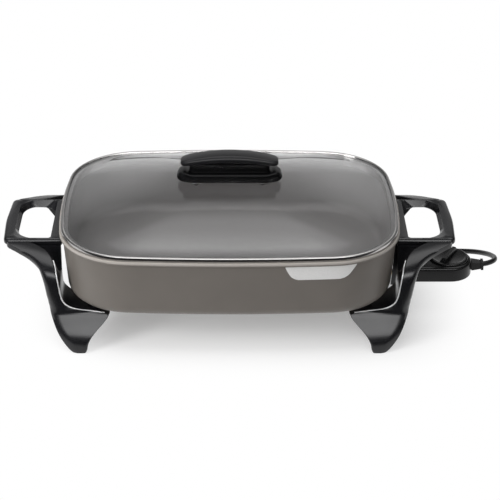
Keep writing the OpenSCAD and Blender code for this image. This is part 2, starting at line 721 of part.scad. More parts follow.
dial_z = control_top_z - recess + gap;
cam_z = control_top_z - 6 - gap - 1.6;

module dial_knob() color([0.13, 0.13, 0.14]) on_pan() translate([control_c, 0, dial_z]) difference() {
    union() {
        rotate_extrude($fn = 96) polygon([[0, 0], [dial_r - 0.4, 0], [dial_r, 0.4], [dial_r, 2.4],
            [dial_r - 0.5, 3.4], [dial_r - 1.5, 4], [dial_r - 3, 4], [dial_r - 4.2, 3.4],
            [dial_r - 6, 3], [0, 3]]);
        rotate([0, 0, 62]) translate([0, 0, 2.6]) hull() {
            translate([-dial_r + 4.5, -4.2, 0]) cube([2 * dial_r - 9, 8.4, 1]);
            translate([-dial_r + 8, -2, 4.6]) cube([2 * dial_r - 14, 4, 0.8]);
        }
    }
    translate([0, 0, -1]) cylinder(r = shaft_r - 0.4 + fit, h = 4.5);
}

module dial_shaft() color([0.75, 0.75, 0.77]) on_pan() translate([control_c, 0, 0]) {
    translate([0, 0, cam_z]) cylinder(r = 5.6, h = 1.6);
    translate([0, 0, cam_z]) cylinder(r = shaft_r, h = dial_z - cam_z - 0.05);
    translate([0, 0, dial_z - 1]) cylinder(r = shaft_r - 0.4, h = 4);
}

// ---- strain relief, cord and plug ----
relief_len = 15;
relief_root = 9;
relief_end = control_reach + relief_len;
flange_t = 3;

// A block across the cord's line, from x0, with its sides set out by d
module relief_block(x0, len, d) {
    translate([x0, -exit_w / 2 - d, axis_z - exit_h / 2 - d]) cube([len, exit_w + 2 * d, exit_h + 2 * d]);
}

module strain_relief() color([0.09, 0.09, 0.09]) on_pan() difference() {
    union() {
        relief_block(control_reach - relief_root, relief_root + gap + 1, 0);
        hull() {
            relief_block(control_reach + gap, 1, 0.9);
            relief_block(relief_end - flange_t - 1, 1, -0.4);
        }
        relief_block(relief_end - flange_t, flange_t, 0.6);
    }
    tube(middle(smooth_path(cord_pts, 2), 0, 5), cord_r + fit, 8);
}

// Route of the cord from the control to the coil, in the pan's own coordinates
cord_pts = [[299, 0, 50.5], [303.6, 0, 50.5], [313.5, 1.9, 50.4], [321.9, 7.4, 49.6], [327.7, 15.7, 48],
    [330, 25.5, 45.6], [328.6, 45.5, 39], [322.4, 66.3, 31], [311.7, 85.3, 23], [297, 101.3, 15.3],
    [276, 116, 8], [253, 127, 4.2], [228, 134, 3.4], [204, 142, 3.4], [182, 154, 3.4], [163, 170, 3.4],
    [147.5, 189, 3.4], [132, 206, 3.4]];
coil_c = [102, 236];
coil_mid = 36;
coil_low = 1.2;
coil_h = 4 * cord_r + 0.8;
tail_pts = [[62, 222, 3.4], [52, 218, 3.4], [42, 215, 3.4], [32, 213.2, 3.4], [22, 213, 3.4]];

function smooth_point(p, i, t) = let (n = len(p) - 1,
        a = p[max(i - 1, 0)], b = p[i], c = p[min(i + 1, n)], d = p[min(i + 2, n)])
    0.5 * (2 * b + (c - a) * t + (2 * a - 5 * b + 4 * c - d) * t * t
        + (3 * b - a - 3 * c + d) * t * t * t);
function smooth_path(p, k) = concat(
    [for (i = [0:len(p) - 2]) for (j = [0:k - 1]) smooth_point(p, i, j / k)], [p[len(p) - 1]]);
function tube_ring(path, i, r, sides) = let (n = len(path) - 1,
        d = unit(path[min(i + 1, n)] - path[max(i - 1, 0)]),
        u = unit(cross([0, 0, 1], d)), v = cross(d, u))
    [for (j = [0:sides - 1]) path[i] + r * (cos(360 * (j + 0.5) / sides) * v
        - sin(360 * (j + 0.5) / sides) * u)];

module tube(path, r, sides) {
    skin([for (i = [0:len(path) - 1]) tube_ring(path, i, r, sides)]);
}

module cord() color([0.07, 0.07, 0.07]) on_pan() tube(smooth_path(cord_pts, 2), cord_r, 8);

module cord_coil() color([0.07, 0.07, 0.07]) on_pan() translate([coil_c.x, coil_c.y, coil_low])
    rotate_extrude($fn = 64) translate([coil_mid - 2 * cord_r, 0]) square([4 * cord_r, coil_h]);

module cord_tail() color([0.07, 0.07, 0.07]) on_pan() tube(smooth_path(tail_pts, 2), cord_r, 8);

module cord_tie() color([0.1, 0.1, 0.1]) on_pan()
    translate([coil_c.x + coil_mid * cos(300), coil_c.y + coil_mid * sin(300), 0]) rotate([0, 0, 300])
        difference() {
            translate([-2 * cord_r - gap - 1, -3, 0])
                cube([4 * cord_r + 2 * gap + 2, 6, coil_low + coil_h + 1.2]);
            translate([-2 * cord_r - gap, -4, coil_low - gap])
                cube([4 * cord_r + 2 * gap, 8, coil_h + 2 * gap]);
        }

plug_x = 22;
plug_y = 213;
plug_len = 34;

module plug_body() color([0.07, 0.07, 0.07]) on_pan() translate([plug_x, plug_y, 0]) difference() {
    hull() {
        translate([-plug_len, -12, 0.2]) cube([16, 24, 14]);
        translate([-2, -5, 0.4]) cube([2, 10, 8]);
    }
    for (s = [1, -1]) translate([-plug_len - 1, s * 6.35 - 0.8, 4]) cube([12, 1.6, 6.6]);
}

module plug_blades() color([0.85, 0.75, 0.45]) on_pan() for (s = [1, -1])
    translate([plug_x - plug_len - 17.5, plug_y + s * 6.35 - 0.75, 4.1]) cube([28, 1.5, 6.4]);

pan();
heating_element();
terminal_insulators();
terminal_pins();
badge_plate();
left_frame();
right_frame();
frame_screws();
terminal_guard();
guard_screws();
cover_glass();
cover_rim();
cover_handle_gasket();
cover_handle_base();
cover_handle_grip();
cover_screws();
cover_washers();
control_bottom();
control_top();
control_screws();
contact_block();
contact_sleeves();
probe();
thermostat_stack();
thermostat_blades();
dial_knob();
dial_shaft();
strain_relief();
cord();
cord_coil();
cord_tail();
cord_tie();
plug_body();
plug_blades();
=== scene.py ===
import math

import bmesh
import bpy
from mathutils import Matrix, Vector


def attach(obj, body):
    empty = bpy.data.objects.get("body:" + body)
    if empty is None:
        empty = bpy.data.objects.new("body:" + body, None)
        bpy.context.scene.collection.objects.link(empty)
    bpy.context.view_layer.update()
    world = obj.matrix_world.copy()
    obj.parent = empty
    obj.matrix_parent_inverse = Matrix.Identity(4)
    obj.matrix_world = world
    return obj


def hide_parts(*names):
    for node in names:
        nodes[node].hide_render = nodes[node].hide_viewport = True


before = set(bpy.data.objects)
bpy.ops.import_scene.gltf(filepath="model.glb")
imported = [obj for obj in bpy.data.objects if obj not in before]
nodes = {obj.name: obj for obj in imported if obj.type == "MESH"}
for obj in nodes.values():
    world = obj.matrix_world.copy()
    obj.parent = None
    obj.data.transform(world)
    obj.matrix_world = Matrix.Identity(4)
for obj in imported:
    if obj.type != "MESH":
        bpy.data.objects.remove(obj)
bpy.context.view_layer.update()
print("frame loaded:", len(nodes), "nodes")

scene = bpy.context.scene
scene.view_settings.view_transform = "Standard"

mm = 0.001
midX = -12.75  # the pan's own middle, in the frame's X


def onPan(x, y, z):
    # millimetres from the pan's middle, into the frame's metres
    return Vector(((x + midX) * mm, y * mm, z * mm))


def turnTo(thing, direction):
    thing.rotation_mode = "QUATERNION"
    thing.rotation_quaternion = direction.to_track_quat("-Z", "Y")


# camera
cameraSettings = {
    "aim": (0, 0, 136), "distance": 2.1, "elevation": 26.3,
    "lens": 125.06, "sensor": 36, "shiftX": 0.041, "shiftY": -0.096, "clip": (0.05, 50),
}


def makeCamera(s):
    lens = bpy.data.cameras.new("skilletCamera")
    lens.lens = s["lens"]
    lens.sensor_width = s["sensor"]
    lens.shift_x, lens.shift_y = s["shiftX"], s["shiftY"]
    lens.clip_start, lens.clip_end = s["clip"]
    camera = bpy.data.objects.new("skilletCamera", lens)
    scene.collection.objects.link(camera)
    rise = math.radians(s["elevation"])
    back = Vector((0, -math.cos(rise), math.sin(rise)))
    camera.location = onPan(*s["aim"]) + back * s["distance"]
    turnTo(camera, -back)
    scene.camera = camera


makeCamera(cameraSettings)
print("camera set")


# small node helpers
def addNode(tree, kind, **settings):
    node = tree.nodes.new(kind)
    for key, value in settings.items():
        setattr(node, key, value)
    return node


def feed(tree, value, socket):
    # a number or a colour is set on the socket, an output is linked to it
    if isinstance(value, (int, float)):
        socket.default_value = value
    elif isinstance(value, tuple):
        socket.default_value = (*value, 1)
    else:
        tree.links.new(value, socket)


def newMaterial(name):
    mat = bpy.data.materials.new(name)
    mat.use_nodes = True
    mat.node_tree.nodes.clear()
    return mat, mat.node_tree


def putOut(tree, source, kind="ShaderNodeOutputMaterial"):
    tree.links.new(source, addNode(tree, kind).inputs[0])


def splitOf(tree, source):
    node = addNode(tree, "ShaderNodeSeparateXYZ")
    tree.links.new(source, node.inputs[0])
    return node.outputs


def rampOf(tree, source, stops):
    ramp = addNode(tree, "ShaderNodeValToRGB")
    elements = ramp.color_ramp.elements
    while len(elements) < len(stops):
        elements.new(0.5)
    for element, (place, level) in zip(elements, stops):
        element.position = place
        element.color = (level, level, level, 1)
    ramp.color_ramp.interpolation = "EASE"
    tree.links.new(source, ramp.inputs[0])
    return ramp.outputs[0]


def mapRange(tree, source, low, high, toLow, toHigh):
    node = addNode(tree, "ShaderNodeMapRange")
    for slot, value in enumerate((source, low, high, toLow, toHigh)):
        feed(tree, value, node.inputs[slot])
    return node.outputs[0]


def noiseOf(tree, coords, scale, detail):
    node = addNode(tree, "ShaderNodeTexNoise")
    node.inputs["Scale"].default_value = scale
    node.inputs["Detail"].default_value = detail
    tree.links.new(coords, node.inputs["Vector"])
    return node.outputs["Fac"]


def mixColors(tree, share, first, second):
    node = addNode(tree, "ShaderNodeMix", data_type="RGBA")
    for slot, value in ((0, share), (6, first), (7, second)):
        feed(tree, value, node.inputs[slot])
    return node.outputs[2]


def mixShaders(tree, share, first, second):
    node = addNode(tree, "ShaderNodeMixShader")
    for slot, value in enumerate((share, first, second)):
        feed(tree, value, node.inputs[slot])
    return node.outputs[0]


def glowOf(tree, kind, strength):
    node = addNode(tree, kind)
    feed(tree, strength, node.inputs["Strength"])
    return node.outputs[0]


def mathOf(tree, operation, *values):
    node = addNode(tree, "ShaderNodeMath", operation=operation)
    for slot, value in enumerate(values):
        feed(tree, value, node.inputs[slot])
    return node.outputs[0]


# where the pan is coated as its inside: facing the middle, level below the lip, above the base
insideSettings = {"facing": 0.02, "level": (0.6, 0.8), "belowLip": (0.118, 0.124), "floorSoft": 0.001}


def insideShare(tree, floorHeight, s):
    # 1 on walls that face the middle and on the floor between them
    shape = addNode(tree, "ShaderNodeNewGeometry")
    flat, upright = [], []
    for output in ("Position", "Normal"):
        flatten = addNode(tree, "ShaderNodeVectorMath", operation="MULTIPLY")
        flatten.inputs[1].default_value = (1, 1, 0)
        tree.links.new(shape.outputs[output], flatten.inputs[0])
        flat.append(flatten.outputs[0])
        upright.append(splitOf(tree, shape.outputs[output])[2])
    toward = addNode(tree, "ShaderNodeVectorMath", operation="DOT_PRODUCT")
    for slot, value in enumerate(flat):
        tree.links.new(value, toward.inputs[slot])
    wall = mapRange(tree, toward.outputs["Value"], -s["facing"], 0, 1, 0)
    height, tilt = upright
    level = mapRange(tree, tilt, *s["level"], 0, 1)
    low = mapRange(tree, height, *s["belowLip"], 1, 0)
    bottom = mathOf(tree, "MULTIPLY", level, low)
    above = mapRange(tree, height, floorHeight - s["floorSoft"], floorHeight, 0, 1)
    return mathOf(tree, "MULTIPLY", mathOf(tree, "MAXIMUM", wall, bottom), above)


# what a finish has unless it says otherwise
plainFinish = {
    "spread": 0.06, "mottleScale": 40, "mottleDetail": 4, "hazeScale": 25, "hazeDetail": 3, "roughVary": 0.03,
    "metal": 0, "specular": 0.5, "bump": 0, "grainScale": 1400, "grainDetail": 2, "bumpDepth": 0.0002,
    "edge": None, "raggedScale": 220, "raggedDetail": 2, "inside": None,
    "noiseSpan": (0.3, 0.7),  # the part of a noise that is stretched to the full change
}

finishes = {
    "panCoat": {
        "color": (0.168, 0.152, 0.136), "rough": 0.44, "spread": 0.03, "mottleScale": 30, "specular": 0.4,
        "bump": 0.015, "grainScale": 450, "bumpDepth": 0.00005,
        "inside": (0.182, 0.176, 0.172), "insideFrom": 0.0565,
        "edge": (0.42, 0.39, 0.36), "edgeFrom": 0.1284, "edgeTo": 0.1302, "edgeRagged": 0.0004,
    },
    "brightSteel": {"color": (0.80, 0.79, 0.78), "rough": 0.14, "metal": 1, "spread": 0.03},
    "rimSteel": {"color": (0.47, 0.46, 0.455), "rough": 0.12, "metal": 1, "spread": 0.02, "mottleScale": 300},
    "dullSteel": {"color": (0.55, 0.55, 0.55), "rough": 0.35, "metal": 1, "spread": 0.08},
    "sheathSteel": {"color": (0.2, 0.2, 0.21), "rough": 0.5, "metal": 1, "spread": 0.15, "bump": 0.1},
    "ceramic": {"color": (0.78, 0.75, 0.69), "rough": 0.6, "spread": 0.05, "bump": 0.1},
    "badgeSilver": {
        "color": (0.79, 0.785, 0.775), "rough": 0.36, "metal": 0.08, "spread": 0.03, "mottleScale": 600,
    },
    "blackMoulding": {
        "color": (0.0075, 0.0076, 0.0090), "rough": 0.24, "spread": 0.12, "specular": 0.47,
        "bump": 0.03, "grainScale": 1600, "bumpDepth": 0.00006,
    },
    # pale satin colour for the beads down the legs' inner edges: a painted highlight
    "paintedEdgeHighlight": {"color": (0.80, 0.80, 0.805), "rough": 0.3, "spread": 0.1, "metal": 0.25},
    "deepBlack": {
        "color": (0.004, 0.004, 0.0044), "rough": 0.2, "spread": 0.12, "specular": 0.16,
        "bump": 0.03, "grainScale": 1600, "bumpDepth": 0.00006,
    },
    "blackGrip": {
        "color": (0.0085, 0.0083, 0.0095), "rough": 0.30, "spread": 0.12, "specular": 0.31,
        "bump": 0.05, "grainScale": 1900, "bumpDepth": 0.00006,
    },
    "controlBlack": {
        "color": (0.005, 0.005, 0.0054), "rough": 0.24, "spread": 0.12, "specular": 0.26,
        "bump": 0.03, "grainScale": 1600, "bumpDepth": 0.00006,
    },
    "phenolic": {"color": (0.03, 0.022, 0.019), "rough": 0.5, "spread": 0.2, "bump": 0.1},
    "brass": {"color": (0.72, 0.55, 0.26), "rough": 0.28, "metal": 1, "spread": 0.08},
    "blackRubber": {
        "color": (0.006, 0.006, 0.0062), "rough": 0.34, "spread": 0.2, "specular": 0.28,
        "bump": 0.01, "grainScale": 500, "bumpDepth": 0.00003,
    },
}


def coatedSurface(name, s):
    # faint mottle in colour, uneven gloss and a fine bump, with an edge band and an inside where given
    mat, tree = newMaterial(name)
    coords = addNode(tree, "ShaderNodeTexCoord").outputs["Object"]
    shader = addNode(tree, "ShaderNodeBsdfPrincipled")
    dark = tuple(c * (1 - s["spread"]) for c in s["color"])
    light = tuple(min(1, c * (1 + s["spread"])) for c in s["color"])
    mottle = noiseOf(tree, coords, s["mottleScale"], s["mottleDetail"])
    color = mixColors(tree, mapRange(tree, mottle, *s["noiseSpan"], 0, 1), dark, light)
    if s["edge"]:
        wobble = noiseOf(tree, coords, s["raggedScale"], s["raggedDetail"])
        height = splitOf(tree, coords)[2]
        ragged = mathOf(tree, "MULTIPLY_ADD", wobble, s["edgeRagged"], height)
        color = mixColors(tree, mapRange(tree, ragged, s["edgeFrom"], s["edgeTo"], 0, 1), color, s["edge"])
    if s["inside"]:
        color = mixColors(tree, insideShare(tree, s["insideFrom"], insideSettings), color, s["inside"])
    haze = noiseOf(tree, coords, s["hazeScale"], s["hazeDetail"])
    low, high = s["rough"] - s["roughVary"], s["rough"] + s["roughVary"]
    gloss = mapRange(tree, haze, *s["noiseSpan"], low, high)
    tree.links.new(color, shader.inputs["Base Color"])
    tree.links.new(gloss, shader.inputs["Roughness"])
    shader.inputs["Metallic"].default_value = s["metal"]
    shader.inputs["Specular IOR Level"].default_value = s["specular"]
    if s["bump"]:
        bump = addNode(tree, "ShaderNodeBump")
        bump.inputs["Strength"].default_value = s["bump"]
        bump.inputs["Distance"].default_value = s["bumpDepth"]
        tree.links.new(noiseOf(tree, coords, s["grainScale"], s["grainDetail"]), bump.inputs["Height"])
        tree.links.new(bump.outputs[0], shader.inputs["Normal"])
    putOut(tree, shader.outputs[0])
    return mat


material = {name: coatedSurface(name, {**plainFinish, **s}) for name, s in finishes.items()}


glassSettings = {"tint": (0.95, 0.95, 0.955), "bend": 1.5, "specular": 0.55}


def clearGlass(name, s):
    # lamps shine through the pane, so that what it covers is lit
    mat, tree = newMaterial(name)
    shader = addNode(tree, "ShaderNodeBsdfPrincipled")
    shader.inputs["Base Color"].default_value = (*s["tint"], 1)
    shader.inputs["Transmission Weight"].default_value = 1
    shader.inputs["Roughness"].default_value = 0
    shader.inputs["IOR"].default_value = s["bend"]
    shader.inputs["Specular IOR Level"].default_value = s["specular"]
    through = addNode(tree, "ShaderNodeBsdfTransparent")
    through.inputs[0].default_value = (*s["tint"], 1)
    path = addNode(tree, "ShaderNodeLightPath")
    lamplight = mathOf(tree, "MAXIMUM", path.outputs["Is Shadow Ray"], path.outputs["Is Diffuse Ray"])
    putOut(tree, mixShaders(tree, lamplight, shader.outputs[0], through.outputs[0]))
    return mat


material["coverGlass"] = clearGlass("coverGlass", glassSettings)
print("finishes made:", len(material))


# stage: pale floor, soft boxes and a white surround, in metres
stageSettings = {
    "floorSize": 9, "floorDrop": 0.0003, "floorColor": (0.82, 0.82, 0.82),
    "shadeMiddle": 0.012, "shadeHalf": (0.155, 0.07),
    "whiteFrom": -0.01, "whiteTo": 0.125,  # beyond this the floor is plain white
    "lift": 0.29, "fill": 0.34,
    # the floor's brightness in mirrors, and where along Y it changes
    "mirrorFloor": {
        "front": 0.05, "near": 1.0, "back": 0.6, "nearEdge": (-0.21, -0.15), "backEdge": (0.2, 1.2),
    },
    # degrees up from the front horizon and over to the back one, with the brightness seen there
    "mirrorMap": [
        (0, 0.05), (17, 0.05), (25, 6.4), (36, 6.2), (45, 0.15), (72, 0.15), (84, 2.9), (108, 2.9),
        (120, 1.4), (130, 0.5), (140, 0.3), (152, 0.34), (161, 0.95), (172, 1.2),
    ],
    "mirrorGain": 8, "mirrorSide": 0.14,
    # how far to the side the banks reach, and how much less between two turns, in radians, over the back
    "bankFade": (0.45, 0.75), "bankLeft": 0.12, "narrowTurn": (2.3, 2.6), "narrowBy": 0.22,
}


def raysOf(tree):
    # what looks straight at the surround, also through the glass, and what comes off a mirror
    path = addNode(tree, "ShaderNodeLightPath")
    direct = mathOf(tree, "SUBTRACT", 1, path.outputs["Is Diffuse Ray"])
    mirrored = mathOf(tree, "MULTIPLY", mathOf(tree, "MINIMUM", path.outputs["Glossy Depth"], 1), direct)
    straight = mathOf(tree, "MAXIMUM", path.outputs["Is Camera Ray"], path.outputs["Is Transmission Ray"])
    return mathOf(tree, "MULTIPLY", straight, mathOf(tree, "SUBTRACT", 1, mirrored)), mirrored


def makeFloor(s):
    half, z = s["floorSize"] / 2, -s["floorDrop"]
    mesh = bpy.data.meshes.new("studioFloor")
    corners = [(-half, -half, z), (half, -half, z), (half, half, z), (-half, half, z)]
    mesh.from_pydata(corners, [], [(0, 1, 2, 3)])
    floor = bpy.data.objects.new("studioFloor", mesh)
    scene.collection.objects.link(floor)
    mat, tree = newMaterial("studioFloor")
    place = splitOf(tree, addNode(tree, "ShaderNodeTexCoord").outputs["Object"])
    # distance outside the skillet's own footprint
    squares = []
    for k, middle in enumerate((s["shadeMiddle"], 0)):
        side = mathOf(tree, "ABSOLUTE", mathOf(tree, "SUBTRACT", place[k], middle))
        beyond = mathOf(tree, "MAXIMUM", mathOf(tree, "SUBTRACT", side, s["shadeHalf"][k]), 0)
        squares.append(mathOf(tree, "MULTIPLY", beyond, beyond))
    away = mathOf(tree, "SQRT", mathOf(tree, "ADD", *squares))
    far = mapRange(tree, away, s["whiteFrom"], s["whiteTo"], 0, 1)
    far.node.interpolation_type = "SMOOTHSTEP"
    # straight on: a shaded floor near the skillet, plain white away from it
    seen, inMirror = raysOf(tree)
    matt = addNode(tree, "ShaderNodeBsdfDiffuse")
    matt.inputs[0].default_value = (*s["floorColor"], 1)
    lift = glowOf(tree, "ShaderNodeEmission", mathOf(tree, "MULTIPLY", seen, s["lift"]))
    shaded = addNode(tree, "ShaderNodeAddShader")
    tree.links.new(matt.outputs[0], shaded.inputs[0])
    tree.links.new(lift, shaded.inputs[1])
    white = glowOf(tree, "ShaderNodeEmission", 1)
    straight = mixShaders(tree, mathOf(tree, "MULTIPLY", far, seen), shaded.outputs[0], white)
    # in mirrors: dim in front of the skillet, paler under and behind it
    m = s["mirrorFloor"]
    near = mapRange(tree, place[1], *m["nearEdge"], m["front"], m["near"])
    back = mapRange(tree, place[1], *m["backEdge"], 0, m["back"] - m["near"])
    mirrored = glowOf(tree, "ShaderNodeEmission", mathOf(tree, "ADD", near, back))
    putOut(tree, mixShaders(tree, inMirror, straight, mirrored))
    mesh.materials.append(mat)


def makeSurround(s):
    world = bpy.data.worlds.new("studioSurround")
    scene.world = world
    world.use_nodes = True
    tree = world.node_tree
    tree.nodes.clear()
    seen, inMirror = raysOf(tree)
    x, y, z = splitOf(tree, addNode(tree, "ShaderNodeTexCoord").outputs["Generated"])
    # in mirrors: a bank of soft light overhead and a low one in front, pale towards the back horizon
    turn = mathOf(tree, "ARCTAN2", z, mathOf(tree, "MULTIPLY", y, -1))
    stops = [(angle / 180, level / s["mirrorGain"]) for angle, level in s["mirrorMap"]]
    ramp = rampOf(tree, mapRange(tree, turn, 0, math.pi, 0, 1), stops)
    bank = mathOf(tree, "MULTIPLY", ramp, s["mirrorGain"])
    # the banks are as wide as the skillet and fade out to the sides
    narrow = mapRange(tree, turn, *s["narrowTurn"], 0, s["narrowBy"])
    aside = mathOf(tree, "ADD", mathOf(tree, "ABSOLUTE", x), narrow)
    beside = mapRange(tree, aside, *s["bankFade"], 1, s["bankLeft"])
    strength = mathOf(tree, "MAXIMUM", mathOf(tree, "MULTIPLY", bank, beside), s["mirrorSide"])
    glossy = glowOf(tree, "ShaderNodeBackground", strength)
    plain = glowOf(tree, "ShaderNodeBackground", s["fill"])
    bright = glowOf(tree, "ShaderNodeBackground", 1)
    lit = mixShaders(tree, inMirror, plain, glossy)
    putOut(tree, mixShaders(tree, seen, lit, bright), "ShaderNodeOutputWorld")


softBoxes = {
    "topBox": {"place": (-0.30, -0.28, 1.7), "aim": (-0.30, -0.28, 0), "size": (1.2, 1.05), "power": 12},
    "leftBox": {"place": (-1.15, -0.85, 0.62), "aim": (0, -0.05, 0.08), "size": (0.5, 0.7), "power": 10},
    "frontBox": {"place": (0, -1.6, 1.23), "aim": (0, 0, 0.04), "size": (1.2, 0.4), "power": 5},
}


def makeSoftBox(name, s):
    lamp = bpy.data.lights.new(name, "AREA")
    lamp.shape = "RECTANGLE"
    lamp.size, lamp.size_y = s["size"]
    lamp.energy = s["power"]
    box = bpy.data.objects.new(name, lamp)
    scene.collection.objects.link(box)
    box.location = s["place"]
    box.visible_camera = False
    box.visible_glossy = False  # the surround carries what mirrors show
    turnTo(box, Vector(s["aim"]) - Vector(s["place"]))


makeFloor(stageSettings)
makeSurround(stageSettings)
for name, s in softBoxes.items():
    makeSoftBox(name, s)
print("stage set")


def roundBar(name, points, finish, s):
    # a round bar along one smooth curve, through points in the pan's own millimetres
    curve = bpy.data.curves.new(name, "CURVE")
    curve.dimensions = "3D"
    curve.resolution_u = s["steps"]
    curve.bevel_depth = s["radius"] * mm
    curve.bevel_resolution = s["sides"]
    curve.use_fill_caps = True
    spline = curve.splines.new("BEZIER")
    spline.bezier_points.add(len(points) - 1)
    for knot, point in zip(spline.bezier_points, points):
        knot.co = onPan(*point)
        knot.handle_left_type = knot.handle_right_type = "AUTO"
    bar = bpy.data.objects.new(name, curve)
    scene.collection.objects.link(bar)
    curve.materials.append(material[finish])
    return bar


# cord: from the control, round behind the frame, into a tied coil with its plug beside it
cordSettings = {
    "radius": 3.2, "coilCentre": (102, 236), "coilRadius": 36, "turnStep": 6.5, "turnPoints": 16,
    "coilStart": -4, "coilTurned": 1240, "coilClear": 0.2, "steps": 6, "sides": 4,
    "route": [
        (299, 0, 50.5), (303.6, 0, 50.5), (313.5, 1.9, 50.4), (321.9, 7.4, 49.6), (327.7, 15.7, 48),
        (330, 25.5, 45.6), (328.6, 45.5, 39), (322.4, 66.3, 31), (311.7, 85.3, 23), (297, 101.3, 15.3),
        (276, 116, 8), (253, 127, 4.2), (228, 134, 3.4), (204, 142, 3.4), (182, 154, 3.4), (163, 170, 3.4),
        (149.5, 190, 3.4), (143, 211, 3.4),
    ],
    "tail": [
        (61.5, 242.6, 9.7), (56.1, 231.8, 9.1), (50.8, 224.1, 8.2), (43.6, 218.1, 7), (35, 214.3, 5.6),
        (27.5, 213.1, 4.6), (22.5, 213, 4.2),
    ],
}


def coilRoute(s):
    # outer turn, inner turn, then an inner turn and most of an outer one on top of them
    cx, cy = s["coilCentre"]
    outer, inner = s["coilRadius"] + s["turnStep"] / 2, s["coilRadius"] - s["turnStep"] / 2
    low = s["radius"] + s["coilClear"]
    high = low + s["turnStep"]
    # degrees turned, with the turn's radius and height there
    keys = [
        (0, outer, low), (285, outer, low), (365, inner, low), (640, inner, low), (715, inner, high),
        (975, inner, high), (1045, outer, high), (1260, outer, high),
    ]
    points = []
    turned = 0
    while turned <= s["coilTurned"]:
        for (a, ra, za), (b, rb, zb) in zip(keys, keys[1:]):
            if a <= turned <= b:
                t = (turned - a) / (b - a)
                t = t * t * (3 - 2 * t)
                r, z = ra + (rb - ra) * t, za + (zb - za) * t
                break
        angle = math.radians(s["coilStart"] + turned)
        points.append((cx + r * math.cos(angle), cy + r * math.sin(angle), z))
        turned += 360 / s["turnPoints"]
    return points


def makeCord(s):
    points = s["route"] + coilRoute(s) + s["tail"]
    cord = roundBar("powerCord", points, "blackRubber", s)
    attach(cord, "control")
    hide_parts("cord", "cord_coil", "cord_tail")


makeCord(cordSettings)


# smooth shading with creases kept, made once for each crease angle in use
def creaseGroup(angle):
    group = bpy.data.node_groups.new(f"smoothTo{angle}", "GeometryNodeTree")
    group.interface.new_socket("Geometry", in_out="INPUT", socket_type="NodeSocketGeometry")
    group.interface.new_socket("Geometry", in_out="OUTPUT", socket_type="NodeSocketGeometry")
    start = addNode(group, "NodeGroupInput")
    end = addNode(group, "NodeGroupOutput")
    drop = addNode(group, "GeometryNodeRemoveAttribute")
    drop.inputs["Name"].default_value = "custom_normal"
    weld = addNode(group, "GeometryNodeMergeByDistance")
    weld.inputs["Distance"].default_value = 0.01 * mm
    smooth = addNode(group, "GeometryNodeSetShadeSmooth", domain="FACE")
    edge = addNode(group, "GeometryNodeInputMeshEdgeAngle")
    steep = addNode(group, "FunctionNodeCompare", data_type="FLOAT", operation="GREATER_THAN")
    steep.inputs[1].default_value = math.radians(angle)
    crease = addNode(group, "GeometryNodeSetShadeSmooth", domain="EDGE")
    crease.inputs["Shade Smooth"].default_value = False
    chain = [start, drop, weld, smooth, crease, end]
    for before, after in zip(chain, chain[1:]):
        group.links.new(before.outputs[0], after.inputs[0])
    group.links.new(edge.outputs["Unsigned Angle"], steep.inputs[0])
    group.links.new(steep.outputs[0], crease.inputs["Selection"])
    return group


creases = {angle: creaseGroup(angle) for angle in (35, 50)}


def smoothTo(piece, angle):
    piece.modifiers.new("smooth", "NODES").node_group = creases[angle]


# shared mesh helpers
def loftPiece(name, rings, finish, body, angle):
    # closed rings of equal length, in the pan's own millimetres, capped at both ends
    count = len(rings[0])
    last = (len(rings) - 1) * count
    verts = [onPan(*p) for ring in rings for p in ring]
    faces = []
    for first in range(0, last, count):
        for j in range(count):
            k = (j + 1) % count
            faces.append((first + j, first + k, first + count + k, first + count + j))
    faces.append(tuple(reversed(range(count))))
    faces.append(tuple(last + j for j in range(count)))
    mesh = bpy.data.meshes.new(name)
    mesh.from_pydata(verts, [], faces)
    outward = bmesh.new()
    outward.from_mesh(mesh)
    bmesh.ops.recalc_face_normals(outward, faces=outward.faces)
    outward.to_mesh(mesh)
    outward.free()
    piece = bpy.data.objects.new(name, mesh)
    scene.collection.objects.link(piece)
    mesh.materials.append(material[finish])
    smoothTo(piece, angle)
    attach(piece, body)
    return piece


def roundedSection(w, low, high, cornerLow, cornerHigh, steps=6):
    # section across a bar: half width w, with its own roundings below and above
    corners = [
        (w - cornerLow, low + cornerLow, cornerLow, -90),
        (w - cornerHigh, high - cornerHigh, cornerHigh, 0),
        (-w + cornerHigh, high - cornerHigh, cornerHigh, 90),
        (-w + cornerLow, low + cornerLow, cornerLow, 180),
    ]
    points = []
    for y, z, r, start in corners:
        for k in range(steps + 1):
            a = math.radians(start + 90 * k / steps)
            points.append((y + r * math.cos(a), z + r * math.sin(a)))
    return points


def stationsAlong(count):
    # from -1 to 1, close together towards the ends
    return [-math.cos(math.pi * i / count) for i in range(count + 1)]


def easeEnd(t, power):
    # 1 along a bar, falling to 0 at its ends
    return math.sqrt(max(0, 1 - abs(t) ** power))


# cover handle: a crowned grip over a trough-shaped base, joined by a rounded web
gripSettings = {
    "half": 58.5, "top": 201.7, "rise": 8, "riseBelow": 0.75, "thick": 6.4, "width": 13, "waist": 0.1,
    "endPower": 14, "endWidth": 0.4, "endTop": 2.2, "endLow": 2,
    "round": 5.2, "roundLow": 1.3, "stations": 44,
}


def makeCoverGrip(s):
    rings = []
    for t in stationsAlong(s["stations"]):
        arch = s["rise"] * (1 - t * t)
        end = easeEnd(t, s["endPower"])
        top = s["top"] - s["rise"] + arch - s["endTop"] * (1 - end)
        low = s["top"] - s["rise"] - s["thick"] + s["riseBelow"] * arch + s["endLow"] * (1 - end)
        w = s["width"] * (s["endWidth"] + (1 - s["endWidth"]) * end) * (1 - s["waist"] * t * t)
        big = min(s["round"], 0.62 * (top - low), 0.8 * w)
        section = roundedSection(w, low, top, min(s["roundLow"], 0.2 * w), big)
        rings.append([(t * s["half"], y, z) for y, z in section])
    grip = loftPiece("coverGrip", rings, "blackGrip", "cover", 50)
    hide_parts("cover_handle_grip")


